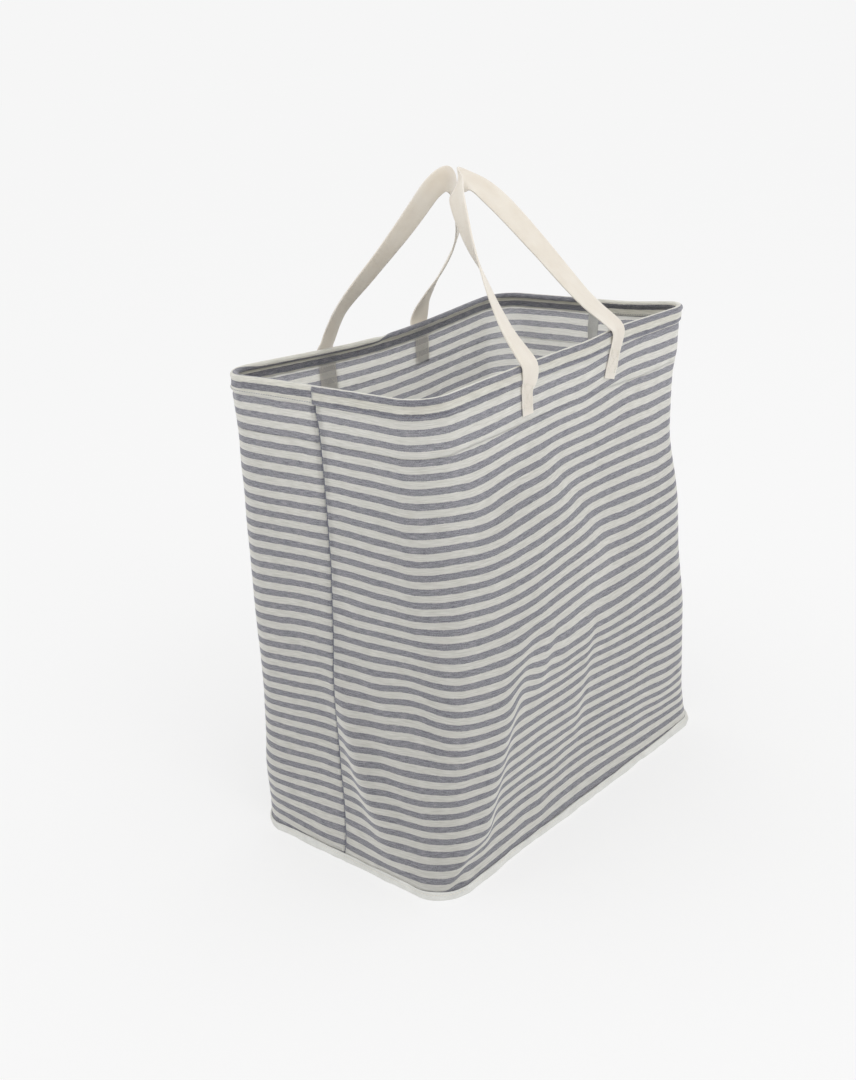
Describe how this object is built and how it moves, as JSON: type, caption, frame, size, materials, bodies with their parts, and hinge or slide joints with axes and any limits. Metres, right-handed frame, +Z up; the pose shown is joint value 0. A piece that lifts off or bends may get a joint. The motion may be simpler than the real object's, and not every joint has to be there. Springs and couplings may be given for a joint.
{
  "type": "laundry bag",
  "caption": "Tall rectangular striped cloth laundry bag with a wire-stiffened open rim, a bound flat base and webbing handles that swing; the walls fold down.",
  "frame": {"origin": "middle of the bag's footprint, at floor level under the base", "axes": "+Z up through the open mouth; X along the long sides; the front wall faces -Y"},
  "size_m": [0.4736, 0.2818, 0.6695],
  "materials": {
    "striped_cloth": "woven cotton, blue-grey and cream stripes",
    "lining_cloth": "plain woven cream cotton",
    "webbing": "cream cotton webbing",
    "binding": "off-white bias tape",
    "thread": "cream sewing thread",
    "steel": "zinc-plated spring wire"
  },
  "bodies": {
    "root": {"base_panel": "lining_cloth", "base_binding": "binding", "front_panel": "striped_cloth", "back_panel": "striped_cloth", "left_seam_tape": "binding", "right_seam_tape": "binding"},
    "rim": {"rim_wire": "steel", "wire_ferrule": "steel", "front_hem": "striped_cloth", "back_hem": "striped_cloth", "front_handle_left_end": "webbing", "front_handle_right_end": "webbing", "back_handle_left_end": "webbing", "back_handle_right_end": "webbing", "front_left_box_stitch": "thread", "front_right_box_stitch": "thread", "back_left_box_stitch": "thread", "back_right_box_stitch": "thread"},
    "front_handle": {"front_handle": "webbing"},
    "back_handle": {"back_handle": "webbing"}
  },
  "joints": [
    {"name": "rim_collapse", "type": "slide", "parent": "root", "child": "rim", "axis": [0, 0, 1], "range_m": [-0.42, 0], "deforming": ["front_panel", "back_panel", "left_seam_tape", "right_seam_tape"]},
    {"name": "front_handle_swing", "type": "hinge", "parent": "rim", "child": "front_handle", "pos_m": [0, -0.13287, 0.4988], "axis": [1, 0, 0], "range_deg": [0, 175]},
    {"name": "back_handle_swing", "type": "hinge", "parent": "rim", "child": "back_handle", "pos_m": [0, 0.13287, 0.4988], "axis": [-1, 0, 0], "range_deg": [0, 175]}
  ]
}
